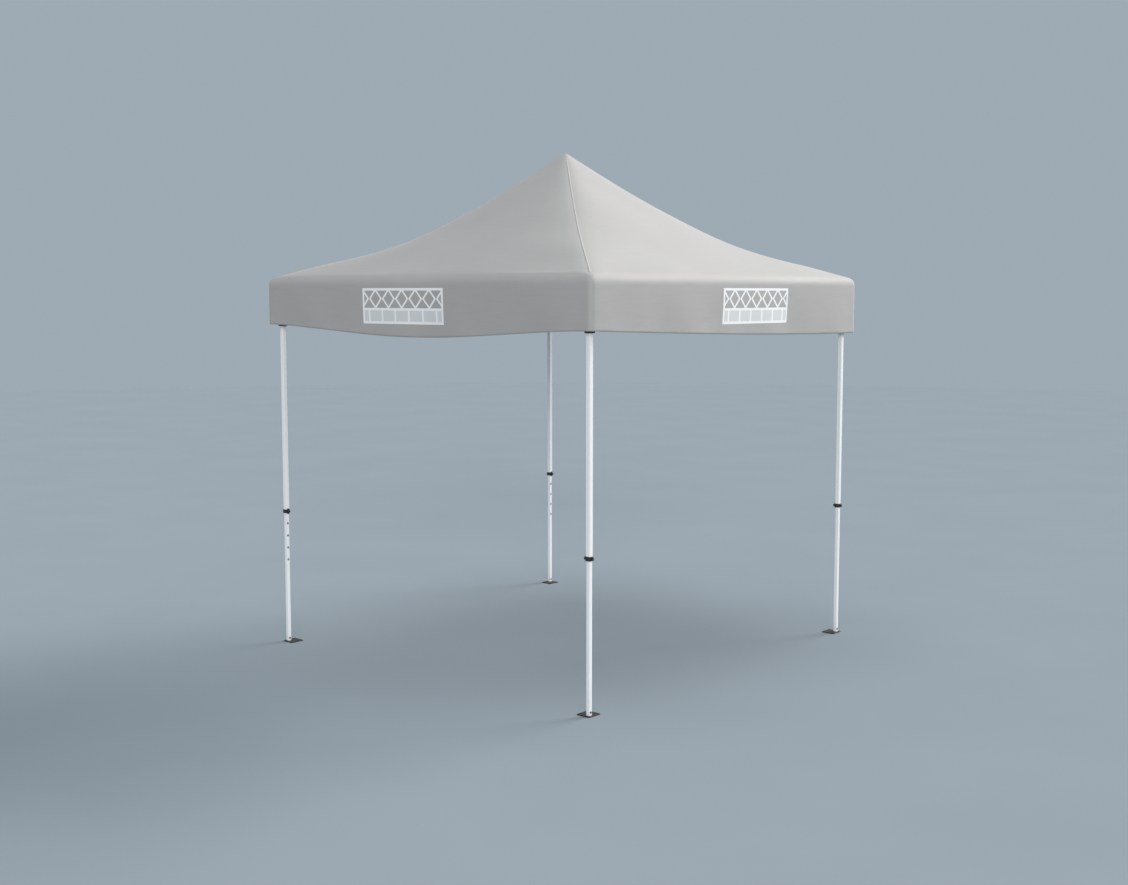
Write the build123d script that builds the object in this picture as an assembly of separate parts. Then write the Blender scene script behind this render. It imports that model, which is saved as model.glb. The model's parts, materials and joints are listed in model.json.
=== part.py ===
from build123d import *
import math
import os

# Pop-up canopy tent, 3 x 3 m. Origin: centre of the footprint, on the ground. +Z up,
# X and Y along the sides. Everything is in millimetres.

# --- overall ---------------------------------------------------------------------------
CANOPY_HALF = 1500.0        # half the width of the cover, over the valances
STACK = 1426.0              # from the centre to a mid-side stack, and from there to a leg
PEAK_Z = 3510.0             # top of the cover
EAVE_Z = 2620.0             # where the roof meets the valances
HEM_Z = 2295.0              # bottom edge of the valances
COVER_T = 1.2               # cover: wall thickness, level
COVER_T_Z = 1.4             # cover: roof thickness, upright

# --- scissor trusses -------------------------------------------------------------------
PIVOT_TOP_Z = 2580.0
PIVOT_LOW_Z = 2345.0
PIVOT_OFFSET = 42.0         # from a stack's axis to its pivots
BAR_H = 25.0
BAR_W = 12.0
BAR_WALL = 1.5
BAR_R = 2.0
BAR_SIDE = 7.0              # the two bars of a scissor lie this far each side of its plane
TUBE_START = 14.0           # from a bar's pivot to where its tube starts
PLUG_DEPTH = 26.0           # how far an end plug reaches into the tube
PIN_R = 3.0
PIN_HOLE_R = 3.05
SIDE_GAP = 0.3              # between a bar and what it turns against

# --- brackets --------------------------------------------------------------------------
EAR_T = 4.0
EAR_R = 9.0
HEAD_R = 5.5
HEAD_T = 2.0
BLOCK = 48.0                # side of a bracket's body
BLOCK_R = 6.0
BLOCK_H = 44.0
CAP_TOP_Z = 2612.0
LEG_TOP_Z = 2600.0
SLIDER_LOW_Z = 2283.0
SLIDER_HIGH_Z = 2372.0
SLIDER_GAP = 0.3

# --- mast ------------------------------------------------------------------------------
MAST_R = 14.0
MAST_WALL = 1.5
MAST_BORE_R = 14.1
MAST_LOW_Z = 2290.0
MAST_TOP_Z = 3464.0
CROWN_R = 30.0
CROWN_T = 8.0
CROWN_DOME_R = 33.0

# --- legs ------------------------------------------------------------------------------
OUTER = 30.0
OUTER_R = 2.5
INNER = 25.0
INNER_R = 2.0
LEG_WALL = 1.5
COLLAR_Z = 953.0
COLLAR = 36.0
COLLAR_H = 26.0
COLLAR_LIP = 4.0
LEG_OVERLAP = 150.0         # how much of the lower leg stays in the upper leg at full height
HOLE_PITCH = 88.0
HOLE_COUNT = 5
HOLE_R = 4.5
LINER_R = 8.0               # each height hole has a moulded liner, flush with the tube
GUIDE_R = 2.2
FOOT = 101.0
FOOT_R = 4.0
FOOT_T = 6.0
FOOT_SHIFT = 23.0           # the foot plate is set inwards, along X and along Y
FOOT_BOLT_Z = 25.0
FOOT_HEAD_R = 7.0
PEG_R = 5.0
PEG_EDGE = 14.0

# --- pull pins -------------------------------------------------------------------------
LOCK_R = 4.0
LOCK_HOLE_R = 4.05
LEG_LOCK_TIP = 13.6         # from the leg's axis to the tip of the collar's pin
SLIDER_LOCK_TIP = 15.4      # the same for the slider's pin
KNOB_R = 10.0
KNOB_L = 8.7
BOSS_R = 8.0
BOSS_L = 3.0
TAB_T = 4.0
TAB_H = 40.0
TAB_W = 18.0
LUG_L = 13.0
LUG_H = 18.0
LUG_W = 12.0
SLIDER_LOCK_Z = 2303.0

SPAN = STACK - 2 * PIVOT_OFFSET
RISE = PIVOT_TOP_Z - PIVOT_LOW_Z
BAR_L = math.hypot(SPAN, RISE)

UP = Vector(0, 0, 1)
COMPASS = {"e": Vector(1, 0, 0), "n": Vector(0, 1, 0), "w": Vector(-1, 0, 0), "s": Vector(0, -1, 0)}
CORNERS = {"ne": (1, 1), "nw": (-1, 1), "sw": (-1, -1), "se": (1, -1)}
SIDES = [("e", "ne"), ("n", "nw"), ("w", "sw"), ("s", "se"),
         ("e", "se"), ("n", "ne"), ("w", "nw"), ("s", "sw")]

os.makedirs("parts", exist_ok=True)


def save(name, solids):
    """Write one node: its solids, side by side in one file."""
    flat = [solid for shape in solids for solid in shape.solids()]
    export_step(flat[0] if len(flat) == 1 else Compound(children=flat), f"parts/{name}.step")


def stack_at(name):
    """The plan position of a stack: a mid-side one, or a corner one."""
    if name in COMPASS:
        return COMPASS[name] * STACK
    sx, sy = CORNERS[name]
    return Vector(sx * STACK, sy * STACK, 0)


def rod(start, along, length, radius):
    """A cylinder that starts at a point and runs along a direction."""
    return Plane(origin=start, z_dir=along).location * Cylinder(
        radius, length, align=(Align.CENTER, Align.CENTER, Align.MIN))


def square_post(size, corner, low, high):
    """A square post with rounded edges, standing on the Z axis."""
    return Pos(0, 0, low) * extrude(RectangleRounded(size, size, corner), high - low)


def square_tube(size, corner, low, high):
    """A square tube with rounded edges, standing on the Z axis."""
    bore = square_post(size - 2 * LEG_WALL, corner - LEG_WALL / 2, low - 1, high + 1)
    return square_post(size, corner, low, high) - bore


# --- scissor bars ----------------------------------------------------------------------
def bar_tube():
    """The tube of a bar, from pivot to pivot along X, with a hole at its middle."""
    length = BAR_L - 2 * TUBE_START
    section = RectangleRounded(BAR_H, BAR_W, BAR_R) - RectangleRounded(
        BAR_H - 2 * BAR_WALL, BAR_W - 2 * BAR_WALL, BAR_R / 4)
    lying = Plane(origin=(TUBE_START, 0, 0), x_dir=(0, 0, 1), z_dir=(1, 0, 0))
    return lying.location * extrude(section, length)


def bar_plug():
    """The moulded end of a bar, with the pivot hole at the origin and its tang along +X."""
    eye = Plane.XZ.location * Cylinder(BAR_H / 2, BAR_W)
    neck = Pos(TUBE_START / 2, 0, 0) * Box(TUBE_START, BAR_W, BAR_H)
    tang_size = (PLUG_DEPTH, BAR_W - 2 * BAR_WALL - 0.2, BAR_H - 2 * BAR_WALL - 0.2)
    tang = Pos(TUBE_START + PLUG_DEPTH / 2, 0, 0) * Box(*tang_size)
    hole = Plane.XZ.location * Cylinder(PIN_HOLE_R, BAR_W + 2)
    return eye + neck + tang - hole


def cross_bolt():
    """The bolt through the middle of a scissor, seen from the drop bar's middle line."""
    far = -2 * BAR_SIDE - BAR_W / 2 - SIDE_GAP
    shank = rod(Vector(0, far - HEAD_T, 0), Vector(0, 1, 0), BAR_W / 2 - far + HEAD_T, PIN_R)
    head = rod(Vector(0, far - HEAD_T, 0), Vector(0, 1, 0), HEAD_T, HEAD_R)
    nut = rod(Vector(0, BAR_W / 2, 0), Vector(0, 1, 0), HEAD_T, HEAD_R)
    gap = 2 * BAR_SIDE - BAR_W - SIDE_GAP
    spacer = rod(Vector(0, -BAR_W / 2 - gap, 0), Vector(0, 1, 0), gap, HEAD_R)
    return Pos(BAR_L / 2, 0, 0) * (shank + head + nut + spacer)


PLUG = bar_plug()
FAR_PLUG = Pos(BAR_L, 0, 0) * Rot(0, 0, 180) * PLUG
DROP_BAR = [bar_tube() - rod(Vector(BAR_L / 2, -BAR_W, 0), Vector(0, 1, 0), 2 * BAR_W, PIN_R),
            PLUG, FAR_PLUG, cross_bolt()]
RISE_BAR = [bar_tube() - rod(Vector(BAR_L / 2, -BAR_W, 0), Vector(0, 1, 0), 2 * BAR_W, PIN_HOLE_R),
            PLUG, FAR_PLUG]


def place_bar(bar, start, along, slope):
    """Put a bar at its near pivot, leaning up (+1) or down (-1) along a level direction."""
    across = UP.cross(along)
    axis = (along * SPAN + UP * (slope * RISE)).normalized()
    frame = Plane(origin=start, x_dir=axis, z_dir=axis.cross(across))
    return [frame.location * solid for solid in bar]


def scissor(near, far, drop_name, rise_name):
    """The two bars between two stacks: the drop bar starts at the top, the rise bar below."""
    along = (far - near).normalized()
    across = UP.cross(along)
    top = near + along * PIVOT_OFFSET + across * BAR_SIDE + UP * PIVOT_TOP_Z
    low = near + along * PIVOT_OFFSET - across * BAR_SIDE + UP * PIVOT_LOW_Z
    save(drop_name, place_bar(DROP_BAR, top, along, -1))
    save(rise_name, place_bar(RISE_BAR, low, along, +1))


# --- brackets --------------------------------------------------------------------------
def fork(along, z, side):
    """A fork with its rivet: two ears each side of one bar's end. side is +1 at the top."""
    across = UP.cross(along) * side
    root = BLOCK / 2 - 2
    reach = PIVOT_OFFSET - root
    frame = Plane(origin=along * root + UP * z, x_dir=along, z_dir=along.cross(across))
    ears = []
    for near_face in (BAR_SIDE - BAR_W / 2 - SIDE_GAP - EAR_T, BAR_SIDE + BAR_W / 2 + SIDE_GAP):
        plate = Pos(reach / 2, near_face + EAR_T / 2, 0) * Box(reach, EAR_T, 2 * EAR_R)
        eye = rod(Vector(reach, near_face, 0), Vector(0, 1, 0), EAR_T, EAR_R)
        hole = rod(Vector(reach, near_face - 1, 0), Vector(0, 1, 0), EAR_T + 2, PIN_R)
        ears.append(plate + eye - hole)
    first = BAR_SIDE - BAR_W / 2 - SIDE_GAP - EAR_T
    last = BAR_SIDE + BAR_W / 2 + SIDE_GAP + EAR_T
    shank = rod(Vector(reach, first - HEAD_T, 0), Vector(0, 1, 0), last - first + 2 * HEAD_T, PIN_R)
    heads = rod(Vector(reach, first - HEAD_T, 0), Vector(0, 1, 0), HEAD_T, HEAD_R) \
        + rod(Vector(reach, last, 0), Vector(0, 1, 0), HEAD_T, HEAD_R)
    rivet = shank + heads
    return [frame.location * ear for ear in ears], frame.location * rivet


def bracket(body, arms, z, side):
    """A moulded bracket: a body with one fork for each arm, and the rivets beside it."""
    rivets = []
    for along in arms:
        ears, rivet = fork(along, z, side)
        for ear in ears:
            body = body + ear
        rivets.append(rivet)
    return [body] + rivets


def hub(z, side):
    """A four-way hub with the mast's bore down its middle."""
    bore = Pos(0, 0, z) * Cylinder(MAST_BORE_R, 2 * BLOCK_H)
    arms = list(COMPASS.values())
    solids = bracket(square_post(BLOCK, BLOCK_R, z - BLOCK_H / 2, z + BLOCK_H / 2), arms, z, side)
    return [solids[0] - bore] + solids[1:]


def mid_side(name, z, side):
    """A three-way bracket at the middle of a side."""
    inward = COMPASS[name] * -1
    across = UP.cross(inward)
    pocket = Pos(0, 0, z - side * BLOCK_H / 2) * Box(BLOCK - 14, BLOCK - 14, BLOCK_H)
    body = square_post(BLOCK, BLOCK_R, z - BLOCK_H / 2, z + BLOCK_H / 2) - pocket
    solids = bracket(body, [inward, across, across * -1], z, side)
    return [Pos(*stack_at(name)) * solid for solid in solids]


def inward_arms(corner):
    sx, sy = CORNERS[corner]
    return Vector(-sx, 0, 0), Vector(0, -sy, 0)


def leg_bracket(corner):
    """The bracket on top of a leg."""
    socket = square_post(OUTER, OUTER_R, 0, LEG_TOP_Z)
    body = square_post(BLOCK, BLOCK_R, PIVOT_TOP_Z - BLOCK_H / 2, CAP_TOP_Z) - socket
    return bracket(body, inward_arms(corner), PIVOT_TOP_Z, +1)


def slider(corner):
    """The bracket that runs up and down the upper leg, with a bore for its pull pin."""
    inward = inward_arms(corner)[0]
    bore = square_post(OUTER + 2 * SLIDER_GAP, OUTER_R + SLIDER_GAP, 0, LEG_TOP_Z)
    body = square_post(BLOCK, BLOCK_R, SLIDER_LOW_Z, SLIDER_HIGH_Z) - bore
    solids = bracket(body, inward_arms(corner), PIVOT_LOW_Z, -1)
    boss = rod(inward * (BLOCK / 2 - 1) + UP * SLIDER_LOCK_Z, inward, BOSS_L + 1, BOSS_R)
    lock_hole = rod(inward * 12 + UP * SLIDER_LOCK_Z, inward, 2 * BLOCK, LOCK_HOLE_R)
    return [solids[0] + boss - lock_hole] + solids[1:]


# --- legs ------------------------------------------------------------------------------
def collar(corner):
    """The collar at the foot of the upper leg: a ring, a tab and boss for the pull pin, a lug."""
    inward = inward_arms(corner)[0]
    low = COLLAR_Z - COLLAR_H / 2
    ring = square_post(COLLAR, 4, low, low + COLLAR_H)
    ring -= square_post(OUTER, OUTER_R, low + COLLAR_LIP, low + COLLAR_H + 1)
    ring -= square_post(INNER + 2 * SLIDER_GAP, INNER_R, low - 1, low + COLLAR_LIP + 1)
    centre = UP * COLLAR_Z
    tab_frame = Plane(origin=centre + inward * (COLLAR / 2 - 1), x_dir=(0, 0, 1), z_dir=inward)
    tab = tab_frame.location * extrude(RectangleRounded(TAB_H, TAB_W, 8), TAB_T + 1)
    boss = rod(centre + inward * (COLLAR / 2), inward, TAB_T + BOSS_L, BOSS_R)
    lug_frame = Plane(origin=centre - inward * (COLLAR / 2 - 1), x_dir=(0, 0, 1), z_dir=inward * -1)
    lug = lug_frame.location * extrude(RectangleRounded(LUG_H, LUG_W, 3), LUG_L + 1)
    lock_hole = rod(centre, inward, 2 * COLLAR, LOCK_HOLE_R)
    return ring + tab + boss + lug - lock_hole


def upper_leg(corner):
    inward = inward_arms(corner)[0]
    tube = square_tube(OUTER, OUTER_R, COLLAR_Z - COLLAR_H / 2 + COLLAR_LIP, LEG_TOP_Z)
    for z in (COLLAR_Z, SLIDER_LOCK_Z):
        tube -= rod(UP * z, inward, BLOCK, LOCK_HOLE_R)
    return tube


def lower_leg(corner):
    """The lower leg: tube, guide on its top, foot plate and bolt, and the liners of the height holes."""
    inward = inward_arms(corner)[0]
    sx, sy = CORNERS[corner]
    top = COLLAR_Z - COLLAR_H / 2 + LEG_OVERLAP
    tube = square_tube(INNER, INNER_R, FOOT_T, top)
    liners = []
    for step in range(HOLE_COUNT):
        z = COLLAR_Z - step * HOLE_PITCH
        tube -= rod(UP * z, inward, BLOCK, LINER_R)
        wall = UP * z + inward * (INNER / 2 - LEG_WALL)
        liners.append(rod(wall, inward, LEG_WALL, LINER_R) - rod(wall - inward, inward, BLOCK, HOLE_R))
    guide_size = OUTER - 2 * LEG_WALL - 0.4
    inside = INNER - 2 * LEG_WALL - 0.2
    guide = square_post(guide_size, GUIDE_R, top, top + 10) + square_post(inside, 0.5, top - 24, top)
    shift = Pos(-sx * FOOT_SHIFT, -sy * FOOT_SHIFT, 0)
    plate = shift * square_post(FOOT, FOOT_R, 0, FOOT_T)
    plate = fillet(plate.edges().group_by(Axis.Z)[-1], 1.5)
    plate += square_post(inside, 0.5, 0, 2 * FOOT_BOLT_Z - FOOT_T)
    edge = FOOT / 2 - PEG_EDGE
    for px, py in ((1, 1), (1, -1), (-1, 1)):
        peg = Pos(-sx * (FOOT_SHIFT + px * edge), -sy * (FOOT_SHIFT + py * edge), 0)
        plate -= peg * Cylinder(PEG_R, 4 * FOOT_T)
    bolt_way = rod(UP * FOOT_BOLT_Z - inward * INNER, inward, 2 * INNER, PIN_R)
    shank = rod(UP * FOOT_BOLT_Z - inward * (INNER / 2 + HEAD_T), inward, INNER + 2 * HEAD_T, PIN_R)
    head = rod(UP * FOOT_BOLT_Z + inward * (INNER / 2), inward, HEAD_T, FOOT_HEAD_R)
    nut = rod(UP * FOOT_BOLT_Z - inward * (INNER / 2 + HEAD_T), inward, HEAD_T, FOOT_HEAD_R)
    return [tube - bolt_way, guide, plate - bolt_way, shank + head + nut] + liners


def pull_pin(corner, z, tip, knob_start):
    """A sprung pull pin with its knob, lying along X on the inward side of a leg."""
    inward = inward_arms(corner)[0]
    shaft = rod(UP * z + inward * tip, inward, knob_start - tip + 1, LOCK_R)
    knob = rod(UP * z + inward * knob_start, inward, KNOB_L, KNOB_R)
    knob = fillet(knob.edges().filter_by(GeomType.CIRCLE), 1.2)
    return shaft + knob


def corner_parts(corner):
    """Everything that stands at one corner."""
    here = Pos(*stack_at(corner))
    collar_knob = COLLAR / 2 + TAB_T + BOSS_L + SIDE_GAP
    slider_knob = BLOCK / 2 + BOSS_L + SIDE_GAP
    nodes = {
        "leg_upper": [upper_leg(corner)],
        "leg_fittings": leg_bracket(corner) + [collar(corner)],
        "leg_lower": lower_leg(corner),
        "leg_pull_pin": [pull_pin(corner, COLLAR_Z, LEG_LOCK_TIP, collar_knob)],
        "slider": slider(corner),
        "slider_pull_pin": [pull_pin(corner, SLIDER_LOCK_Z, SLIDER_LOCK_TIP, slider_knob)],
    }
    for name, solids in nodes.items():
        save(f"{name}_{corner}", [here * solid for solid in solids])


# --- mast ------------------------------------------------------------------------------
def mast():
    """The mast's tube, and the domed crown that holds the peak of the cover up."""
    tube = Pos(0, 0, MAST_LOW_Z) * Cylinder(MAST_R, MAST_TOP_Z - MAST_LOW_Z,
                                            align=(Align.CENTER, Align.CENTER, Align.MIN))
    tube -= Pos(0, 0, MAST_LOW_Z) * Cylinder(MAST_R - MAST_WALL, 3 * (MAST_TOP_Z - MAST_LOW_Z))
    crown = Pos(0, 0, MAST_TOP_Z + CROWN_T / 2) * Cylinder(CROWN_R, CROWN_T)
    drop = math.sqrt(CROWN_DOME_R ** 2 - CROWN_R ** 2)
    ball = Pos(0, 0, MAST_TOP_Z + CROWN_T - drop) * Sphere(CROWN_DOME_R)
    above = Pos(0, 0, MAST_TOP_Z + CROWN_T) * Cylinder(CROWN_R, CROWN_DOME_R,
                                                      align=(Align.CENTER, Align.CENTER, Align.MIN))
    plug = Pos(0, 0, MAST_TOP_Z) * Cylinder(MAST_R - MAST_WALL - 0.1, 40,
                                            align=(Align.CENTER, Align.CENTER, Align.MAX))
    return [tube, crown + (ball & above) + plug]


# --- cover -----------------------------------------------------------------------------
HIP_BOW = 0.36              # how much of the hip's height is in its steep upper part
HIP_BEND = 0.62             # how far out that steep part ends
HIP_STOPS = (0.0, 0.3, 0.62, 1.0)   # how far out a hip bends
PANEL_FLAT = 0.55           # how far a panel's flat middle reaches towards its hips, along the eave


def roof_point(side, out, turn, half):
    """A point of the roof: out runs from the peak to the eave, turn is -1 and 1 on a side's hips."""
    steep = max(0.0, 1 - out / HIP_BEND)
    hip = (1 - HIP_BOW) * (1 - out) + HIP_BOW * steep ** 2
    height = hip if abs(turn) == 1 else 1 - out
    return (side + UP.cross(side) * turn) * (half * out) + UP * (EAVE_Z + height * (PEAK_Z - EAVE_Z))


def gusset(*corners):
    """A flat piece of the roof, as thick as the cover."""
    face = Face(Wire.make_polygon(list(corners), close=True))
    return extrude(face, amount=COVER_T_Z, dir=(0, 0, -1))


def roof_panel(side):
    """One side of the roof: a flat middle, and three gussets along each hip."""
    half = CANOPY_HALF - COVER_T
    left, right = (roof_point(side, 1.0, turn, half) for turn in (-PANEL_FLAT, PANEL_FLAT))
    pieces = [gusset(UP * PEAK_Z, left, right)]
    for turn, eave in ((-1, left), (1, right)):
        hip = [roof_point(side, out, turn, half) for out in HIP_STOPS]
        pieces += [gusset(upper, eave, lower) for upper, lower in zip(hip, hip[1:])]
    return pieces


def valance(side):
    """One hanging side of the cover, mitred at its ends."""
    across = UP.cross(side)
    outer, inner = CANOPY_HALF, CANOPY_HALF - COVER_T
    plan = [side * outer - across * outer, side * outer + across * outer,
            side * inner + across * inner, side * inner - across * inner]
    face = Face(Wire.make_polygon([point + UP * HEM_Z for point in plan], close=True))
    return extrude(face, amount=EAVE_Z - HEM_Z, dir=(0, 0, 1))


def cover():
    """The cover, from flat pieces edge to edge: a four-sided roof with bowed hips, and four valances."""
    pieces = [piece for side in COMPASS.values() for piece in roof_panel(side)]
    return pieces + [valance(side) for side in COMPASS.values()]


# --- build -----------------------------------------------------------------------------
save("hub_upper", hub(PIVOT_TOP_Z, +1))
save("hub_lower", hub(PIVOT_LOW_Z, -1))
save("mast", mast())
save("canopy", cover())
for name, direction in COMPASS.items():
    scissor(Vector(0, 0, 0), stack_at(name), f"inner_drop_bar_{name}", f"inner_rise_bar_{name}")
    save(f"mid_upper_{name}", mid_side(name, PIVOT_TOP_Z, +1))
    save(f"mid_lower_{name}", mid_side(name, PIVOT_LOW_Z, -1))
for near, far in SIDES:
    scissor(stack_at(near), stack_at(far), f"side_drop_bar_{near}_{far}", f"side_rise_bar_{near}_{far}")
for corner in CORNERS:
    corner_parts(corner)
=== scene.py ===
import json
import math

import bpy
import numpy as np
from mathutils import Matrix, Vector

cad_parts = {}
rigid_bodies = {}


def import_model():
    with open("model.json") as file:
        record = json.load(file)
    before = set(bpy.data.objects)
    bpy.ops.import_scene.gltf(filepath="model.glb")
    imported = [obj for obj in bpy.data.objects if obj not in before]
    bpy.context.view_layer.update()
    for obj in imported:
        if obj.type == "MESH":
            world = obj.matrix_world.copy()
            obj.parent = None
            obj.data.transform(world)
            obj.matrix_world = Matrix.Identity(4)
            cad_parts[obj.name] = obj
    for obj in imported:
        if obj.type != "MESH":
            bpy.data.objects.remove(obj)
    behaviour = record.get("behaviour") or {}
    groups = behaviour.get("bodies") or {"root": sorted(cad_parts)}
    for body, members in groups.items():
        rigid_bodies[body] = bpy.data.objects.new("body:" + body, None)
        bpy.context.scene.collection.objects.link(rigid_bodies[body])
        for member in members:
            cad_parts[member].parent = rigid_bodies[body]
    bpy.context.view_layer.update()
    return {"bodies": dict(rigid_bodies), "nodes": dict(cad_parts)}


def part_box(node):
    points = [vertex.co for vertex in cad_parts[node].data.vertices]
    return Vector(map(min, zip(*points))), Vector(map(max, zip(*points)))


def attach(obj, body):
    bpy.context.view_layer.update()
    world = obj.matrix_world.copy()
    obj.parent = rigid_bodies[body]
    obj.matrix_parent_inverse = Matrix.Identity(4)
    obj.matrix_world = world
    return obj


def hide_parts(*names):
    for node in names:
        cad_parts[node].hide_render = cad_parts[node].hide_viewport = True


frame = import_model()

NODES = frame["nodes"]
BODIES = frame["bodies"]
SCENE = bpy.context.scene

# ---------------------------------------------------------------------------
# Sizes, in metres, read from the frame
# ---------------------------------------------------------------------------
COVER_LOW, COVER_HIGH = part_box("canopy")
HALF = COVER_HIGH.x                      # half the width of the cover
PEAK = COVER_HIGH.z
HEM = COVER_LOW.z                        # lowest edge of the valances, at the corners
EAVE = max(v.co.z for v in NODES["canopy"].data.vertices
           if max(abs(v.co.x), abs(v.co.y)) > HALF - 0.0005)
STACK = sum(c.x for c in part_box("leg_upper_ne")) / 2
CORNERS = {"ne": (1, 1), "nw": (-1, 1), "sw": (-1, -1), "se": (1, -1)}
SIDES = {"e": (1, 0), "n": (0, 1), "w": (-1, 0), "s": (0, -1)}


# ---------------------------------------------------------------------------
# Node-tree helpers
# ---------------------------------------------------------------------------
class Tree:
    """A short way to write a material's nodes."""

    def __init__(self, name):
        self.material = bpy.data.materials.new(name)
        self.material.use_nodes = True
        self.tree = self.material.node_tree
        self.tree.nodes.clear()
        self.output = self.node("ShaderNodeOutputMaterial")
        self.shader = self.node("ShaderNodeBsdfPrincipled")
        self.link(self.shader.outputs["BSDF"], self.output.inputs["Surface"])

    def node(self, kind, **settings):
        made = self.tree.nodes.new(kind)
        for key, value in settings.items():
            setattr(made, key, value)
        return made

    def link(self, source, target):
        self.tree.links.new(source, target)

    def feed(self, target, value):
        """Put a number, a colour or another node's output into a socket."""
        if isinstance(value, bpy.types.NodeSocket):
            self.link(value, target)
        else:
            target.default_value = value

    def set(self, **values):
        for key, value in values.items():
            self.feed(self.shader.inputs[key.replace("_", " ")], value)

    def math(self, operation, a, b=0.0, c=0.0):
        made = self.node("ShaderNodeMath", operation=operation)
        for socket, value in zip(made.inputs, (a, b, c)):
            self.feed(socket, value)
        return made.outputs[0]

    def coords(self):
        return self.node("ShaderNodeTexCoord").outputs["Object"]

    def scaled(self, vector, scale):
        made = self.node("ShaderNodeMapping")
        self.link(vector, made.inputs["Vector"])
        made.inputs["Scale"].default_value = scale
        return made.outputs[0]

    def parts(self, vector):
        made = self.node("ShaderNodeSeparateXYZ")
        self.link(vector, made.inputs[0])
        return made.outputs

    def noise(self, vector, scale, detail=4.0, rough=0.5):
        made = self.node("ShaderNodeTexNoise")
        self.link(vector, made.inputs["Vector"])
        made.inputs["Scale"].default_value = scale
        made.inputs["Detail"].default_value = detail
        made.inputs["Roughness"].default_value = rough
        return made.outputs["Fac"]

    def ramp(self, value, stops):
        made = self.node("ShaderNodeValToRGB")
        elements = made.color_ramp.elements
        while len(elements) < len(stops):
            elements.new(0.5)
        for element, (place, colour) in zip(elements, stops):
            element.position = place
            element.color = colour
        self.link(value, made.inputs[0])
        return made.outputs["Color"]

    def span(self, value, low, high, out_low, out_high):
        """Map low to high onto out_low to out_high, and hold it there."""
        made = self.node("ShaderNodeMapRange")
        self.feed(made.inputs["Value"], value)
        limits = {"From Min": low, "From Max": high, "To Min": out_low, "To Max": out_high}
        for key, number in limits.items():
            made.inputs[key].default_value = number
        return made.outputs[0]

    def mix(self, share, a, b):
        """Mix two colours. The node's other data types share its sockets' names, so these go by number."""
        colour_a, colour_b, colour_out = 6, 7, 2
        made = self.node("ShaderNodeMix", data_type="RGBA")
        self.feed(made.inputs["Factor"], share)
        self.feed(made.inputs[colour_a], a)
        self.feed(made.inputs[colour_b], b)
        return made.outputs[colour_out]

    def bump(self, height, distance, strength):
        made = self.node("ShaderNodeBump")
        made.inputs["Strength"].default_value = strength
        made.inputs["Distance"].default_value = distance
        self.link(height, made.inputs["Height"])
        self.link(made.outputs[0], self.shader.inputs["Normal"])


def grey(value):
    return (value, value, value, 1.0)


# ---------------------------------------------------------------------------
# Materials
# ---------------------------------------------------------------------------
FLOOR = (0.25, 0.286, 0.316)
FABRIC_GREY = 0.347
FABRIC_TINT = (1.045, 1.0, 0.965)        # share of that grey in each channel: a little warm
PRINT_WHITE = 0.80                       # lines of the printed block
PRINT_LIGHT = 0.60                       # fill of its lower band
DUST = (0.42, 0.38, 0.33, 1.0)
EMBLEM_SIZE = (0.76, 0.232)              # width and height of the printed block
EMBLEM_LINE = 0.016
EMBLEM_SPLIT = -0.09                     # height of the line between its bands, as a share of its height
EMBLEM_CELLS = 6                         # diamonds, and gaps between bars
EMBLEM_PLACE = {"e": 0.19, "n": 0.0, "w": 0.0, "s": -0.09}    # its place along each side
EMBLEM_Z = 2.431                         # height of its middle over the ground
THREAD = 0.0011                          # pitch of the weave
RIPSTOP = 0.008                          # pitch of its stronger threads
STITCH_PITCH = 0.005
STITCH_LENGTH = 0.0038
STITCH_ROW = 0.004                       # each row's distance from the middle of the tape
STITCH_HALF = 0.0007                     # half the width of a row


def weave(t, uv):
    """Height of a plain weave with a ripstop grid, from a UV map in metres."""
    u, v, _ = t.parts(uv)

    def ribs(value, pitch, sharp):
        wave = t.math("SINE", t.math("MULTIPLY", value, 2 * math.pi / pitch))
        return t.math("POWER", t.math("MULTIPLY_ADD", wave, 0.5, 0.5), sharp)

    fine = t.math("MULTIPLY", ribs(u, THREAD, 1.0), ribs(v, THREAD, 1.0))
    grid = t.math("MAXIMUM", ribs(u, RIPSTOP, 12.0), ribs(v, RIPSTOP, 12.0))
    return t.math("ADD", t.math("MULTIPLY", fine, 0.6), t.math("MULTIPLY", grid, 0.5))


def band(t, value, centre, half_width):
    """1 where value lies within half_width of centre."""
    return t.math("LESS_THAN", t.math("ABSOLUTE", t.math("SUBTRACT", value, centre)), half_width)


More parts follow.
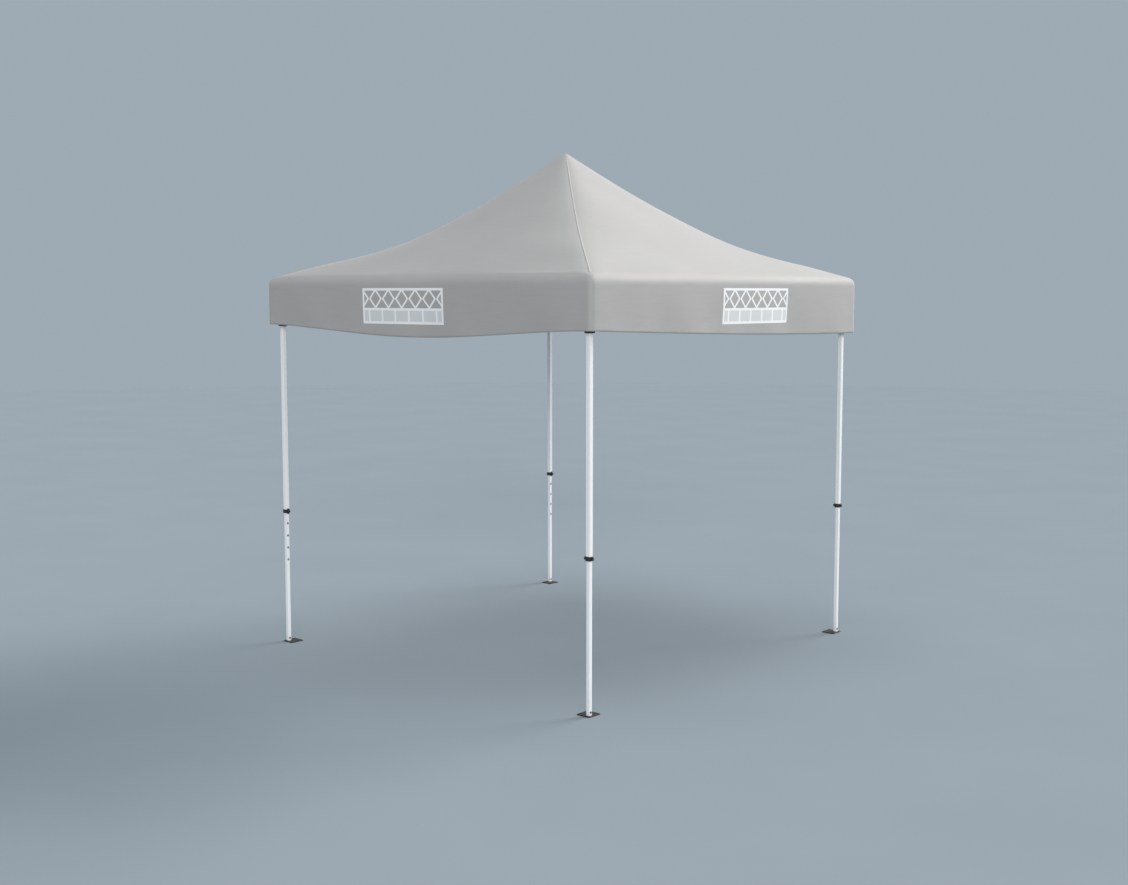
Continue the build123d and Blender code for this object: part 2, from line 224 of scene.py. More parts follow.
def emblem(t, uv):
    """Masks of a plain printed block: white lines, and the lighter fill of its lower band."""
    x, y, _ = t.parts(uv)
    width, height = EMBLEM_SIZE
    line = EMBLEM_LINE / 2
    split = EMBLEM_SPLIT * height
    ax = t.math("ABSOLUTE", x)
    ay = t.math("ABSOLUTE", y)
    inside = t.math("MULTIPLY", t.math("LESS_THAN", ax, width / 2),
                    t.math("LESS_THAN", ay, height / 2))
    rim = t.math("MAXIMUM", t.math("GREATER_THAN", ax, width / 2 - 2 * line),
                 t.math("GREATER_THAN", ay, height / 2 - 2 * line))
    middle = band(t, y, split, line)
    upper = t.math("GREATER_THAN", y, split)
    # upper band: a row of outlined diamonds; lower band: plain upright bars
    cell = width / EMBLEM_CELLS
    fold = t.math("ABSOLUTE", t.math("WRAP", x, cell / 2, -cell / 2))
    high_middle = (height / 2 + split) / 2
    high_half = (height / 2 - split) / 2
    off_middle = t.math("ABSOLUTE", t.math("SUBTRACT", y, high_middle))
    slope = t.math("ADD", t.math("DIVIDE", fold, cell / 2), t.math("DIVIDE", off_middle, high_half))
    diamonds = t.math("MULTIPLY", upper, band(t, slope, 0.86, 0.14))
    lower = t.math("SUBTRACT", 1.0, upper)
    bars = t.math("MULTIPLY", lower, t.math("GREATER_THAN", fold, cell / 2 - line))
    white = t.math("MAXIMUM", t.math("MAXIMUM", rim, middle), t.math("MAXIMUM", diamonds, bars))
    return t.math("MULTIPLY", inside, white), t.math("MULTIPLY", inside, lower)


def fabric(name, tone, printed=False, stitched=False):
    """Woven polyester: a faint cloudiness and streaks along it, a print or two rows of stitches."""
    t = Tree(name)
    uv = t.node("ShaderNodeUVMap", uv_map="cloth").outputs[0]
    place = t.coords()
    cloudy = t.noise(place, scale=1.7, detail=3.0)
    streaky = t.noise(t.scaled(uv, (1.0, 9.0, 1.0)), scale=6.0, detail=3.0, rough=0.6)
    clouds = t.span(cloudy, 0.3, 0.7, -0.012, 0.012)
    streaks = t.span(streaky, 0.3, 0.7, -0.008, 0.008)
    level = t.math("ADD", t.math("ADD", clouds, streaks), tone)
    plain = t.node("ShaderNodeCombineColor")
    for socket, share in zip(plain.inputs[:3], FABRIC_TINT):
        t.link(t.math("MULTIPLY", level, share), socket)
    colour = plain.outputs[0]
    height = weave(t, uv)
    if printed:
        block = t.node("ShaderNodeUVMap", uv_map="print").outputs[0]
        white, light = emblem(t, block)
        colour = t.mix(light, colour, grey(PRINT_LIGHT))
        colour = t.mix(white, colour, grey(PRINT_WHITE))
    if stitched:
        along, across, _ = t.parts(uv)
        place_in_pitch = t.math("WRAP", along, STITCH_PITCH / 2, -STITCH_PITCH / 2)
        dash = band(t, place_in_pitch, 0.0, STITCH_LENGTH / 2)
        rows = t.math("MAXIMUM", band(t, across, STITCH_ROW, STITCH_HALF),
                      band(t, across, -STITCH_ROW, STITCH_HALF))
        stitch = t.math("MULTIPLY", dash, rows)
        colour = t.mix(stitch, colour, grey(tone * 1.35))
        height = t.math("ADD", height, t.math("MULTIPLY", stitch, 1.6))
    t.set(Base_Color=colour, Roughness=t.span(cloudy, 0.3, 0.7, 0.66, 0.76))
    t.shader.inputs["Specular IOR Level"].default_value = 0.35
    t.shader.inputs["Sheen Weight"].default_value = 0.12
    t.shader.inputs["Sheen Roughness"].default_value = 0.5
    t.bump(height, distance=0.00018, strength=0.55)
    return t.material


def painted(name, tone, rough=0.34):
    """Powder-coated tube: a fine orange-peel, faint scuffs along it and dust near the ground."""
    t = Tree(name)
    place = t.coords()
    peel = t.noise(place, scale=520.0, detail=2.0)
    scuff = t.noise(t.scaled(place, (160.0, 160.0, 5.0)), scale=1.0, rough=0.62)
    marks = t.span(scuff, 0.62, 0.74, 0.0, 1.0)
    faint_marks = t.math("MULTIPLY", marks, 0.16)
    _, _, z = t.parts(place)
    near_ground = t.span(z, 0.0, 0.22, 1.0, 0.0)
    dust = t.math("MULTIPLY", near_ground, t.span(t.noise(place, scale=38.0), 0.35, 0.7, 0.2, 1.0))
    colour = t.mix(faint_marks, grey(tone), grey(tone * 0.72))
    colour = t.mix(t.math("MULTIPLY", dust, 0.22), colour, DUST)
    uneven = t.span(t.noise(place, scale=11.0), 0.3, 0.7, rough, rough + 0.08)
    t.set(Base_Color=colour, Roughness=t.math("ADD", faint_marks, uneven))
    t.shader.inputs["Coat Weight"].default_value = 0.15
    t.shader.inputs["Coat Roughness"].default_value = 0.25
    t.bump(peel, distance=0.00004, strength=0.5)
    return t.material


def bare_metal(name, tone, rough=0.3):
    """Drawn aluminium or zinc-plated steel: fine lines round an upright piece."""
    t = Tree(name)
    place = t.coords()
    lines = t.noise(t.scaled(place, (35.0, 35.0, 900.0)), scale=1.0, detail=3.0, rough=0.7)
    blotch = t.noise(place, scale=30.0, detail=3.0)
    colour = t.ramp(blotch, ((0.35, grey(tone * 0.9)), (0.7, grey(tone))))
    t.set(Base_Color=colour, Roughness=t.span(lines, 0.3, 0.7, rough - 0.06, rough + 0.1), Metallic=1.0)
    t.bump(lines, distance=0.00003, strength=0.5)
    return t.material


def moulded(name, tone, rough=0.5):
    """Glass-filled nylon: a fine spark texture and slightly paler scuffs."""
    t = Tree(name)
    place = t.coords()
    grain = t.noise(place, scale=900.0, detail=2.0)
    scuff = t.span(t.noise(place, scale=60.0, detail=5.0, rough=0.65), 0.56, 0.72, 0.0, 1.0)
    colour = t.mix(t.math("MULTIPLY", scuff, 0.5), grey(tone), grey(tone * 2.2))
    t.set(Base_Color=colour, Roughness=t.span(grain, 0.3, 0.7, rough - 0.05, rough + 0.12))
    t.bump(grain, distance=0.00012, strength=0.6)
    return t.material


def floor_paint():
    """A plain matt floor, with a hardly visible unevenness."""
    t = Tree("floor_paint")
    soft = t.noise(t.coords(), scale=0.8, detail=3.0)
    darker, lighter = ((*(level * share for level in FLOOR), 1.0) for share in (0.985, 1.015))
    t.set(Base_Color=t.ramp(soft, ((0.35, darker), (0.7, lighter))), Roughness=0.9)
    t.shader.inputs["Specular IOR Level"].default_value = 0.0
    return t.material


FABRIC = fabric("cover_fabric", FABRIC_GREY)
PRINTED = fabric("valance_fabric", FABRIC_GREY, printed=True)
TAPE = fabric("seam_tape", FABRIC_GREY, stitched=True)
LEG_PAINT = painted("leg_white", 0.80)
TRUSS_PAINT = painted("truss_white", 0.74, 0.4)
PLASTIC = moulded("bracket_black", 0.018)
KNOB = moulded("knob_black", 0.014, 0.38)
FOOT_PLASTIC = moulded("foot_black", 0.02, 0.55)
END_PLUG = moulded("plug_grey", 0.05, 0.5)
ZINC = bare_metal("zinc_bolt", 0.62)
MAST_METAL = bare_metal("mast_aluminium", 0.72, 0.34)


# ---------------------------------------------------------------------------
# Mesh helpers
# ---------------------------------------------------------------------------
def smooth(value):
    value = np.clip(value, 0.0, 1.0)
    return value * value * (3 - 2 * value)


def new_mesh(name, points, faces):
    mesh = bpy.data.meshes.new(name)
    mesh.from_pydata([tuple(p) for p in points], [], [tuple(int(i) for i in f) for f in faces])
    mesh.validate()
    piece = bpy.data.objects.new(name, mesh)
    SCENE.collection.objects.link(piece)
    return piece


def paint_uv(piece, name, uv):
    """Write one UV pair for each vertex into a map."""
    layer = piece.data.uv_layers.new(name=name)
    index = np.zeros(len(piece.data.loops), np.int32)
    piece.data.loops.foreach_get("vertex_index", index)
    layer.data.foreach_set("uv", np.asarray(uv, np.float32)[index].ravel())


# ---------------------------------------------------------------------------
# The cover's shape
# ---------------------------------------------------------------------------
# a hip's height over the eave, 1 at the peak, at places from the peak (0) past the corner (1)
HIP_AT = (0.0, 0.15, 0.3, 0.42, 0.52, 0.62, 0.8, 1.0, 1.1)
HIP_SHARE = (1.0, 0.77, 0.515, 0.365, 0.245, 0.155, 0.12, 0.0, -0.06)
HIP_GRID = np.linspace(HIP_AT[0], HIP_AT[-1], 221)
HIP_BLUR = 10                            # steps of that grid to each side over which its bends are smoothed
HIP_WIDTH = 4.0                          # how narrow the strip is in which a panel sinks to its hip
TAUT_HIP = 0.3                           # the south-east hip is stretched tighter, and sinks less
PANEL_SAG = 0.055                        # sag at a panel's mid-length, as a share of the roof's height
SEAM_SOFT = 0.085                        # radius over which the seams are rounded
PEAK_SOFT = 0.01                         # that radius at the peak, from where it grows
SOFT_GROWTH = 0.3                        # with the distance from the peak
EAVE_ROUND = 0.052                       # how far the soft edge reaches up the roof and down the valance
EAVE_START = 1 - EAVE_ROUND / HALF       # where it starts, as a share of the cover's half-width
CORNER_ROUND = 0.03                      # plan radius of the cover's upright corners
CORNER_START = 0.72                      # share of the half-width from where the corners start to round
SHEET_T = 0.0012
HEM_DROP = 0.064                         # how far the south side's hem hangs below its corners
HEM_SAG = {"n": 0.45, "w": 0.8, "s": 1.0}     # share of it on each side; the east hem runs straight down
HEM_SHAPE = 1.7                          # above 1, the sag keeps to the middle of a side
LOW_CORNER_DROP = 0.070                  # how much lower the hem hangs at the north-east corner
ROOF_WAVE = 0.0035                       # height of the slow waves in the roof
SWELL = 0.010                            # how far a valance bows out at mid-height
SWELL_SHAPE = 1.2
FLUTTER = 0.0045                         # depth of the waves along a valance
FINE_FLUTTER = 0.0030                    # and of finer ones near the hem
FLUTTER_PHASE = {"e": 0.4, "n": 1.9, "w": 3.1, "s": 4.4}
ALONG = 64                               # columns of each side
COLUMN_CROWD = 0.46                      # share of a half wave: columns stand closer towards the corners
ROOF_ROWS = 54
ROW_CROWD = 1.15                         # above 1, rows stand closer towards the peak
ROUND_ROWS = 9
VALANCE_ROWS = 24


def hip_table():
    """Height of a hip at each place of HIP_GRID, with the bends of HIP_SHARE smoothed."""
    straight = np.interp(HIP_GRID, HIP_AT, HIP_SHARE)
    before = 2 * straight[0] - straight[HIP_BLUR:0:-1]
    after = 2 * straight[-1] - straight[-2:-2 - HIP_BLUR:-1]
    window = np.ones(2 * HIP_BLUR + 1)
    return np.convolve(np.concatenate([before, straight, after]), window / len(window), "valid")


HIP_HEIGHT = hip_table()


def creased_share(x, y):
    """Height over the eave, 0 to 1, of a roof with sharp seams: panels sag a little and sink to the hips."""
    far = np.maximum(np.abs(x), np.abs(y)) / HALF
    near = np.minimum(np.abs(x), np.abs(y)) / HALF
    middle = (1 - far) * (1 - 4 * PANEL_SAG * far)
    sink = np.where((x > 0) & (y < 0), TAUT_HIP, 1.0)
    hip = middle + sink * (np.interp(far, HIP_GRID, HIP_HEIGHT) - middle)
    return middle + (near / (far + 1e-6)) ** HIP_WIDTH * (hip - middle)


def roof_z(x, y):
    """Height of the roof: the mean of the creased one over a small disc, as cloth rounds its seams."""
    soft = np.minimum(SEAM_SOFT, PEAK_SOFT + SOFT_GROWTH * np.hypot(x, y))
    total = creased_share(x, y)
    samples = 1
    for ring, start in ((0.5, 0.5), (1.0, 0.0)):
        for step in range(6):
            angle = (step + start) * math.pi / 3
            away = soft * ring
            total = total + creased_share(x + away * math.cos(angle), y + away * math.sin(angle))
            samples += 1
    return EAVE + (PEAK - EAVE) * total / samples


def hem_drop(side, turn):
    """How far the hem hangs below the corner's hem at a place on a side."""
    share = (turn + 1) / 2
    if side == "e":
        return LOW_CORNER_DROP * np.sin(share * math.pi / 2)
    sag = HEM_SAG[side] * (HEM_DROP * np.sin(share * math.pi) ** HEM_SHAPE)
    if side == "n":
        return LOW_CORNER_DROP * np.cos(share * math.pi / 2) + sag
    return sag


def rounded_plan(side, out, turn, radius):
    """Plan position on a square of half-width out * HALF whose corners are rounded."""
    dx, dy = SIDES[side]
    reach = out * HALF
    across = turn * reach
    radius = np.minimum(radius, reach * 0.5) + 1e-9
    past = np.clip((np.abs(across) - (reach - radius)) / radius, 0, 1)
    angle = past * math.pi / 4
    depth = np.where(past > 0, reach - radius + radius * np.cos(angle), reach)
    aside = np.where(past > 0, (reach - radius + radius * np.sin(angle)) * np.sign(across), across)
    return depth * dx - aside * dy, depth * dy + aside * dx


def ripple(x, y, z):
    """Slow, shallow waves in the cloth, the same on every run."""
    wave = np.sin(2.1 * x + 1.3 * y + 0.7) * np.sin(1.7 * y - 0.9 * x + 2.9 * z)
    wave += 0.6 * np.sin(4.3 * x - 3.1 * y + 1.9) * np.sin(3.7 * y + 2.3 * z + 0.4)
    return wave


def corner_radius(out):
    """Plan radius of the cover's corners: none high on the roof, the full one at the eave."""
    return CORNER_ROUND * smooth((out - CORNER_START) / (1 - CORNER_START))


def eave_curve(bend, first, corner, last):
    """A quadratic curve from first to last that is drawn towards corner."""
    return (1 - bend) ** 2 * first + 2 * bend * (1 - bend) * corner + bend ** 2 * last


def cover_point(side, turn, row):
    """A point of the cover. row is 0 to 1 down the roof, 1 to 2 round the eave, 2 to 3 down the valance."""
    turn, row = np.broadcast_arrays(np.asarray(turn, float), np.asarray(row, float))
    bend = np.clip(row - 1, 0, 1)
    fall = np.clip(row - 2, 0, 1)
    out = np.where(row > 1, eave_curve(bend, EAVE_START, 1.0, 1.0), EAVE_START * np.clip(row, 0, 1))
    x, y = rounded_plan(side, out, turn, corner_radius(out))
    # the height: on the roof, round the eave and down the valance
    edge = np.full_like(turn, EAVE_START)
    eave_top = roof_z(*rounded_plan(side, edge, turn, corner_radius(edge)))
    eave_low = EAVE - EAVE_ROUND
    hem = HEM - hem_drop(side, turn)
    z = np.where(row > 2, eave_low + (hem - eave_low) * fall, eave_curve(bend, eave_top, EAVE, eave_low))
    z = np.where(row <= 1, roof_z(x, y), z)
    # slow waves lift the roof between its peak and the eave
    calm = 1 - np.abs(turn) ** 6
    on_roof = smooth(row / 0.35) * (1 - smooth((row - 0.85) / 0.3))
    z = z + ROOF_WAVE * ripple(x, y, z) * calm * on_roof
    # the valance bows out, and waves along it push it in and out
    share = (turn + 1) / 2
    push = SWELL * np.sin(np.clip((row - 1) / 2, 0, 1) * math.pi) ** SWELL_SHAPE
    push += FLUTTER * np.sin(share * 23 + FLUTTER_PHASE[side]) * smooth(fall)
    push += FINE_FLUTTER * np.sin(share * 41 + 1.1) * smooth(fall)
    push *= calm
    dx, dy = SIDES[side]
    return np.stack([x + dx * push, y + dy * push, z], -1)


def side_columns():
    """Places along a side, -1 to 1."""
    bow = COLUMN_CROWD * math.pi
    return np.sin(np.linspace(-1, 1, ALONG + 1) * bow) / math.sin(bow)


def cover_rows():
    """Rows of the cover below its peak, as cover_point counts them."""
    roof = np.linspace(0, 1, ROOF_ROWS + 1) ** ROW_CROWD
    eave = 1 + np.linspace(0, 1, ROUND_ROWS + 1)
    valance = 2 + np.linspace(0, 1, VALANCE_ROWS + 1)
    return np.concatenate([roof[1:], eave[1:], valance[1:]])


def build_cover():
    """One continuous sheet: the peak, rings of the roof, the soft eave and the valances down to the hem."""
    columns = side_columns()
    rows = cover_rows()
    rings = np.stack([np.concatenate([cover_point(side, columns[:-1], row) for side in SIDES])
                      for row in rows])
    count = rings.shape[1]                              # points of a ring
    points = [np.array([0.0, 0.0, roof_z(0.0, 0.0)])] + list(rings.reshape(-1, 3))

    def at(r, k):
        return 1 + r * count + k % count

    faces = [(0, at(0, k), at(0, k + 1)) for k in range(count)]
    for r in range(len(rows) - 1):
        faces += [(at(r, k), at(r + 1, k), at(r + 1, k + 1), at(r, k + 1)) for k in range(count)]
    cover = new_mesh("cover_sheet", points, faces)
    row_of = np.concatenate([[0.0], np.repeat(rows, count)])
    turn_of = np.concatenate([[0.0], np.tile(np.tile(columns[:-1], 4), len(rows))])
    side_of = np.concatenate([[0], np.tile(np.repeat(np.arange(4), len(columns) - 1), len(rows))])
    return cover, row_of, turn_of, side_of


def corner_uvs(side_index, turn, row):
    """UV pairs of face corners, in metres: the cloth map, and the print map, 0 at the print's middle."""
    side = list(SIDES)[side_index]
    out = np.where(row > 1, 1.0, row * EAVE_START)
    across = turn * out * HALF
    slope = math.hypot(HALF, PEAK - EAVE)
    point = cover_point(side, turn, row)
    down = np.where(row > 1, slope + EAVE - point[..., 2], out * slope)
    printed = np.stack([across - EMBLEM_PLACE[side], point[..., 2] - EMBLEM_Z], -1)
    return np.stack([across, -down], -1), printed


def map_cover(cover):
    """Lay the maps face by face, so that no face crosses a side's end. Returns each face's row."""
    columns = side_columns()
    rows = cover_rows()
    side = np.repeat(np.arange(4), len(columns) - 1)
    left = np.tile(columns[:-1], 4)
    right = np.tile(columns[1:], 4)
    # the triangles round the peak, then a ring of quads between each two rows
    sides = [np.repeat(side, 3)]
    turns = [np.stack([0 * left, left, right], -1).ravel()]
    levels = [np.tile([0.0, rows[0], rows[0]], len(left))]
    for top, low in zip(rows, rows[1:]):
        sides.append(np.repeat(side, 4))
        turns.append(np.stack([left, left, right, right], -1).ravel())
        levels.append(np.tile([top, low, low, top], len(left)))
    sides, turns, levels = (np.concatenate(x) for x in (sides, turns, levels))
    maps = {name: np.zeros((len(sides), 2)) for name in ("cloth", "print")}
    for k in range(4):
        here = sides == k
        for name, uv in zip(maps, corner_uvs(k, turns[here], levels[here])):
            maps[name][here] = uv
    for name, uv in maps.items():
        layer = cover.data.uv_layers.new(name=name)
        layer.data.foreach_set("uv", uv.astype(np.float32).ravel())
    return np.concatenate([np.zeros(len(left)), np.repeat(rows[:-1], len(left))])


def add_thickness(piece, depth):
    made = piece.modifiers.new("thickness", "SOLIDIFY")
    made.thickness = depth
    made.offset = -1.0


# ---------------------------------------------------------------------------
# How the cloth follows the frame: each vertex is pulled by the bodies it hangs from
# ---------------------------------------------------------------------------
TRAVEL = 1.257                           # how far a mid-side bracket moves inwards as the frame folds
HUB_TRAVEL = 1.125                       # how far the lower hub drops
FOLDED_HALF = 0.241                      # half the width of the folded cover's eave
POUCH = 0.17                             # how far the slack roof stands out of the folded frame
SAG = 0.64                               # and how far it hangs down
POUCH_SHAPE = 1.9                        # above 1, the pouch is nearer the eave than the peak
PLEATS = 5                               # on each side
PLEAT_DEPTH = 0.13
PLEAT_START = 0.5                        # share of the way to the eave where the pleats are at full depth
MAST_REACH = 0.93                        # share of the way to the eave up to which the mast carries the roof
CROWN_ROOM = 0.045                       # half the width that the mast's crown needs inside the folded peak


def pull(points, side_of, turn_of):
    """Weights of the bodies that pull the cloth: the four mid-side brackets, the lower hub and the mast."""
    x, y, _ = points.T
    reach = np.maximum(np.abs(x), np.abs(y))
    u = np.clip(reach / HALF, 1e-4, 1)
    pouch = np.sin(math.pi * u ** POUCH_SHAPE)
    folded = np.maximum(FOLDED_HALF * u + POUCH * pouch, np.minimum(reach, CROWN_ROOM))
    scale = folded / (HALF * u)
    pleat = PLEAT_DEPTH * smooth(u / PLEAT_START) * (0.5 - 0.5 * np.cos(math.pi * (turn_of + 1) * PLEATS))
    out = np.array(list(SIDES.values()))[side_of]
    move = np.stack([x, y], -1) * (scale - 1)[:, None] + out * pleat[:, None]
    hooks = {}
    for side, axis, sign in (("e", 0, -1), ("w", 0, 1), ("n", 1, -1), ("s", 1, 1)):
        hooks[f"mid_upper_{side}"] = np.clip(sign * move[:, axis] / TRAVEL, 0, 1)
    hooks["hub_lower"] = np.clip(SAG * pouch / HUB_TRAVEL, 0, 1)
    hooks["mast"] = np.clip((MAST_REACH - u) / MAST_REACH, 0, 1)
    return hooks


def hang(piece, side_of, turn_of):
    """Ride on the hub, and follow the other bodies by hooks, which do nothing at rest."""
    points = np.array([v.co for v in piece.data.vertices])
    for body, weights in pull(points, side_of, turn_of).items():
        group = piece.vertex_groups.new(name=body)
        for index in np.flatnonzero(weights > 1e-4):
            group.add([int(index)], float(weights[index]), "REPLACE")
        made = piece.modifiers.new(body, "HOOK")
        made.object = BODIES[body]
        made.vertex_group = group.name
        made.falloff_type = "NONE"
    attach(piece, "hub")


# ---------------------------------------------------------------------------
# Cover and its seam tapes
# ---------------------------------------------------------------------------
def make_cover():
    cover, row_of, turn_of, side_of = build_cover()
    face_row = map_cover(cover)
    cover.data.materials.append(FABRIC)
    cover.data.materials.append(PRINTED)
    cover.data.polygons.foreach_set("material_index", (face_row >= 2).astype(np.int32))
    cover.data.polygons.foreach_set("use_smooth", [True] * len(cover.data.polygons))
    hang(cover, side_of, turn_of)
    add_thickness(cover, SHEET_T)
    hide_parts("canopy")
    return cover


TAPE_HALF = 0.008                        # half the width of a seam tape
TAPE_T = 0.0005
TAPE_LIFT = 0.0006                       # how far it stands on the cloth
TAPE_START = 0.05                        # row where it starts, just below the peak
TAPE_ROWS = 90


def hip_tape(index):
    """A folded tape over a hip seam, from the peak down to the eave."""
    order = list(SIDES)
    side, after = order[index], order[(index + 1) % 4]
    rows = np.linspace(TAPE_START, 1.0, TAPE_ROWS)
    points, uv, turns, sides = [], [], [], []
    for row in rows:
        at = row * (HALF - EAVE_ROUND)
        aside = min(TAPE_HALF / at, 0.8)
        across = ((side, 1 - aside, -TAPE_HALF), (side, 1.0, 0.0), (after, aside - 1, TAPE_HALF))
        for name, turn, offset in across:
            points.append(cover_point(name, turn, row) + np.array([0, 0, TAPE_LIFT]))
            uv.append((at * math.sqrt(2), offset))
            turns.append(turn)
            sides.append(order.index(name))
    faces = []
    for r in range(len(rows) - 1):
        for c in range(2):
            a = 3 * r + c
            faces.append((a, a + 3, a + 4, a + 1))
    tape = new_mesh(f"cover_hip_tape_{side}{after}", points, faces)
    paint_uv(tape, "cloth", uv)
    tape.data.materials.append(TAPE)
    tape.data.polygons.foreach_set("use_smooth", [True] * len(tape.data.polygons))
    hang(tape, np.array(sides), np.array(turns))
    add_thickness(tape, TAPE_T)
    return tape


cover = make_cover()
tapes = [hip_tape(index) for index in range(4)]


# ---------------------------------------------------------------------------
# CAD nodes: their shape stays, and each gets its finish face by face
# ---------------------------------------------------------------------------
PIVOT_OFFSET = 0.042                     # distance of a bracket's pivots from the middle of its stack
RIVET_R = 0.0056
RIVET_REACH = 0.03                       # half the length that a rivet may take, along its axis
BOLT_PROUD = 0.0002                      # a cross bolt's ends stand at least so far out of the bar's plugs
COLLAR_Z = 0.953                         # height of the topmost hole of a lower leg
HOLE_PITCH = 0.088
HOLE_COUNT = 5
LINER_R = 0.0079
LINER_DEPTH = 0.002                      # how deep in the hole a liner's faces are black
LEG_HALF = 0.0125                        # half the width of a lower leg
FOOT_BOLT_Z = 0.025
FOOT_HEAD_R = 0.0072
HEAD_PROUD = 0.0001                      # the foot bolt's faces stand at least so far out of the leg
PIN_SHAFT_R = 0.0046


def centres(node):
    """Centres of a node's faces."""
    faces = node.data.polygons
    found = np.zeros(len(faces) * 3)
    faces.foreach_get("center", found)
    return found.reshape(-1, 3)


def islands(node):
    """A label for each face: faces that share a corner place are one solid."""
    mesh = node.data
    corners = np.zeros(len(mesh.vertices) * 3)
    mesh.vertices.foreach_get("co", corners)
    _, ids = np.unique(np.round(corners.reshape(-1, 3), 5), axis=0, return_inverse=True)
    ids = ids.ravel()
    edges = np.zeros(len(mesh.edges) * 2, np.int32)
    mesh.edges.foreach_get("vertices", edges)
    a, b = ids[edges.reshape(-1, 2)].T
    label = np.arange(ids.max() + 1)
    while True:
        before = label.copy()
        least = np.minimum(label[a], label[b])
        np.minimum.at(label, a, least)
        np.minimum.at(label, b, least)
        label = label[label]
        if (label == before).all():
            break
    first = np.zeros(len(mesh.loops), np.int32)
    mesh.loops.foreach_get("vertex_index", first)
    starts = np.zeros(len(mesh.polygons), np.int32)
    mesh.polygons.foreach_get("loop_start", starts)
    return label[ids[first[starts]]]


def finish_node(name, materials, choice=None):
    """Give a CAD node its materials. choice has the number of a material for each face."""
    node = NODES[name]
    node.data.materials.clear()
    for material in materials:
        node.data.materials.append(material)
    if choice is None:
        choice = np.zeros(len(node.data.polygons), np.int32)
    node.data.polygons.foreach_set("material_index", np.asarray(choice, np.int32))


def stack_of(name):
    """Plan position of the stack of brackets that a node's name ends with."""
    key = name.rsplit("_", 1)[-1]
    if key in CORNERS:
        return np.array(CORNERS[key]) * STACK
    if key in SIDES:
        return np.array(SIDES[key]) * STACK
    return np.zeros(2)


def rivet_faces(name, pivot_z):
    """Faces of a bracket that belong to its rivets, by their distance from the pivots' axes."""
    at = centres(NODES[name])
    home = stack_of(name)
    found = np.zeros(len(at), bool)
    for dx, dy in SIDES.values():
        along = (at[:, 0] - home[0]) * dx + (at[:, 1] - home[1]) * dy
        aside = np.abs((at[:, 0] - home[0]) * dy - (at[:, 1] - home[1]) * dx)
        off_axis = np.hypot(along - PIVOT_OFFSET, at[:, 2] - pivot_z)
        found |= (off_axis < RIVET_R) & (aside < RIVET_REACH)
    return found


def finish_brackets():
    """Brackets, collars and sliders are black plastic with zinc-plated rivets."""
    middle = {name: sum(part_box(name), Vector()).z / 2 for name in ("hub_upper", "hub_lower")}
    for name in NODES:
        if name.startswith(("hub_upper", "mid_upper", "leg_fittings")):
            finish_node(name, [PLASTIC, ZINC], rivet_faces(name, middle["hub_upper"]))
        elif name.startswith(("hub_lower", "mid_lower", "slider_n", "slider_s")):
            finish_node(name, [PLASTIC, ZINC], rivet_faces(name, middle["hub_lower"]))


def finish_bars():
    """The tube is painted, its end plugs are plastic and its cross bolt is zinc-plated."""
    for name in NODES:
        if "_bar_" not in name:
            continue
        at = centres(NODES[name])
        label = islands(NODES[name])
        kinds, counts = np.unique(label, return_counts=True)
        tube = kinds[counts.argmax()]
        low, high = (np.array(corner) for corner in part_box(name))
        across = int(np.argmin((high - low)[:2]))
        plug = at[label != tube][:, across]
        place = at[:, across]
        bolt = (place < plug.min() - BOLT_PROUD) | (place > plug.max() + BOLT_PROUD)
        choice = np.where(label != tube, 1, np.where(bolt, 2, 0))
        finish_node(name, [TRUSS_PAINT, END_PLUG, ZINC], choice)


def finish_legs():
    """The tubes are painted. A lower leg's foot plate, guide, foot bolt and hole liners are black."""
    for corner, (sx, sy) in CORNERS.items():
        finish_node(f"leg_upper_{corner}", [LEG_PAINT])
        name = f"leg_lower_{corner}"
        at = centres(NODES[name])
        label = islands(NODES[name])
        inward = (sx * STACK - at[:, 0]) * sx
        aside = np.abs(at[:, 1] - sy * STACK)
        tall = {k: np.ptp(at[label == k][:, 2]) for k in np.unique(label)}
        black = label != max(tall, key=tall.get)
        for step in range(HOLE_COUNT):
            off_axis = np.hypot(aside, at[:, 2] - (COLLAR_Z - step * HOLE_PITCH))
            black |= (off_axis < LINER_R) & (inward > LEG_HALF - LINER_DEPTH)
        bolt_off = np.hypot(aside, at[:, 2] - FOOT_BOLT_Z)
        black |= (bolt_off < FOOT_HEAD_R) & (np.abs(inward) > LEG_HALF + HEAD_PROUD)
        finish_node(name, [LEG_PAINT, FOOT_PLASTIC], black)


def finish_pins():
    """A pull pin's knob is black plastic and its shaft is zinc-plated."""
    for name in NODES:
        if "pull_pin" not in name:
            continue
        at = centres(NODES[name])
        low, high = (np.array(corner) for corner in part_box(name))
        middle = (low + high) / 2
        off_axis = np.hypot(at[:, 1] - middle[1], at[:, 2] - middle[2])
        inward = math.copysign(1, middle[0])
        shaft = (off_axis < PIN_SHAFT_R) & ((at[:, 0] - middle[0]) * inward > 0)
        finish_node(name, [KNOB, ZINC], shaft)


def finish_mast():
    """The mast is bare aluminium and its crown, the topmost solid, is black plastic."""
    at = centres(NODES["mast"])
    label = islands(NODES["mast"])
    crown = label == label[at[:, 2].argmax()]
    finish_node("mast", [MAST_METAL, PLASTIC], crown)


finish_brackets()
finish_bars()
finish_legs()
finish_pins()
finish_mast()


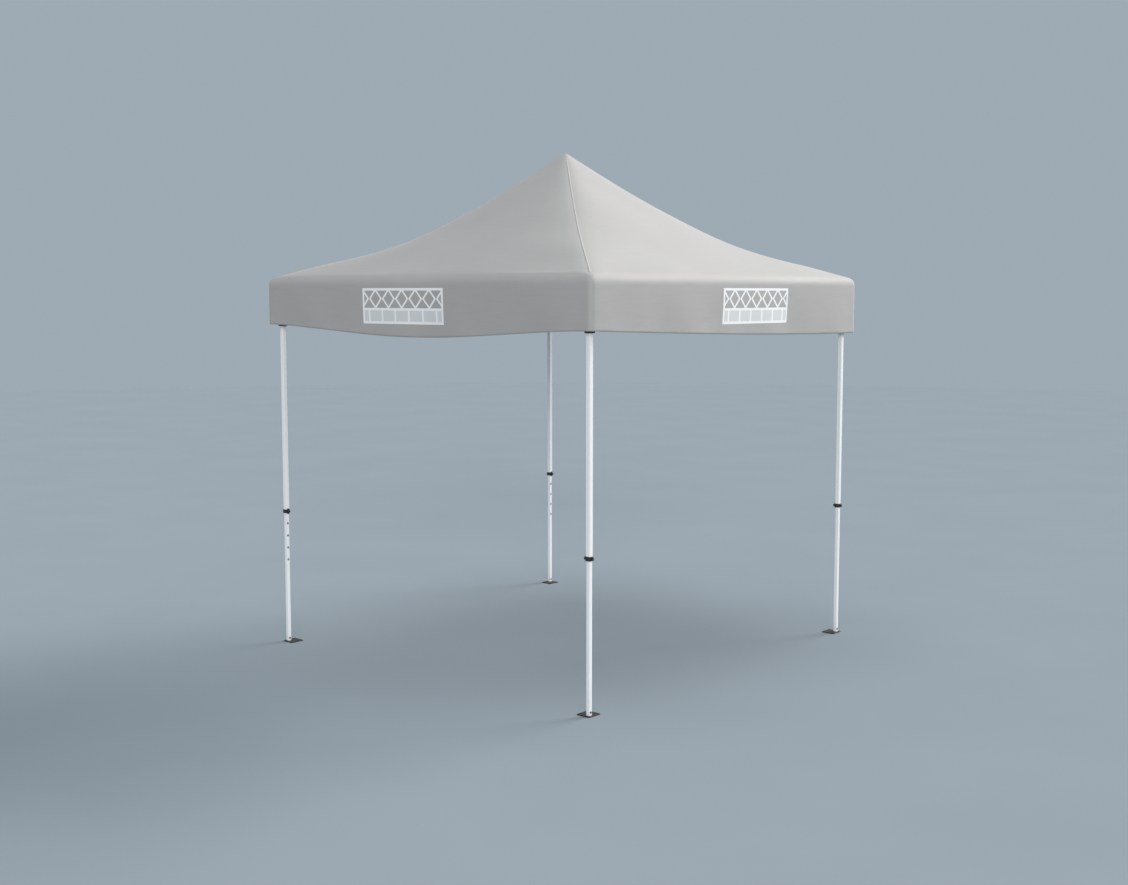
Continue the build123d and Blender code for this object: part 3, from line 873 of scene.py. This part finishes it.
# ---------------------------------------------------------------------------
# Floor, light and camera
# ---------------------------------------------------------------------------
FLOOR_R = 30.0
FLOOR_STEPS = 96
FLOOR_Z = -0.0005                        # just under the feet
SKY = (0.345, 0.405, 0.455)
SUNS = {                                 # direction towards the light, strength, width in degrees, colour
    "key": ((0.22, 0.87, 0.44), 4.0, 35, (1.0, 0.985, 0.96)),
    "top": ((0.0, 0.0, 1.0), 0.95, 42, (1.0, 0.99, 0.98)),
    "fill": ((0.70, -0.66, 0.22), 1.9, 25, (1.0, 0.985, 0.965)),
}
CAMERA_AZIMUTH = 41.05                   # degrees from the front (-Y) towards +X
CAMERA_AWAY = 10.396                     # distance on the ground from the middle of the tent
CAMERA_HEIGHT = 2.513
CAMERA_PITCH = 5.524                     # degrees down
CAMERA_LENS = 45.902                     # mm, for a sensor 36 mm wide
CAMERA_SENSOR = 36.0
CAMERA_SHIFT = (-0.001587, -0.008901)    # as shares of the picture's width


def make_floor():
    turns = np.linspace(0, 2 * math.pi, FLOOR_STEPS, endpoint=False)
    points = [(FLOOR_R * math.cos(a), FLOOR_R * math.sin(a), FLOOR_Z) for a in turns]
    floor = new_mesh("studio_floor", points, [tuple(range(FLOOR_STEPS))])
    floor.data.materials.append(floor_paint())


def make_light():
    world = bpy.data.worlds.new("studio")
    SCENE.world = world
    world.use_nodes = True
    background = world.node_tree.nodes["Background"]
    background.inputs["Color"].default_value = (*SKY, 1.0)
    background.inputs["Strength"].default_value = 1.0
    for name, (towards, power, width, colour) in SUNS.items():
        sun = bpy.data.lights.new(name, "SUN")
        sun.energy = power
        sun.angle = math.radians(width)
        sun.color = colour
        lamp = bpy.data.objects.new(name, sun)
        lamp.rotation_mode = "QUATERNION"
        lamp.rotation_quaternion = Vector(towards).to_track_quat("Z", "Y")
        SCENE.collection.objects.link(lamp)


def make_camera():
    data = bpy.data.cameras.new("camera")
    data.sensor_width = CAMERA_SENSOR
    data.lens = CAMERA_LENS
    data.shift_x, data.shift_y = CAMERA_SHIFT
    data.clip_start, data.clip_end = 0.1, 200.0
    camera = bpy.data.objects.new("camera", data)
    SCENE.collection.objects.link(camera)
    azimuth, pitch = math.radians(CAMERA_AZIMUTH), math.radians(CAMERA_PITCH)
    side, front = math.sin(azimuth), -math.cos(azimuth)
    camera.location = (CAMERA_AWAY * side, CAMERA_AWAY * front, CAMERA_HEIGHT)
    forward = Vector((-side * math.cos(pitch), -front * math.cos(pitch), -math.sin(pitch)))
    camera.rotation_mode = "QUATERNION"
    camera.rotation_quaternion = forward.to_track_quat("-Z", "Y")
    SCENE.camera = camera


make_floor()
make_light()
make_camera()
SCENE.view_settings.view_transform = "Standard"
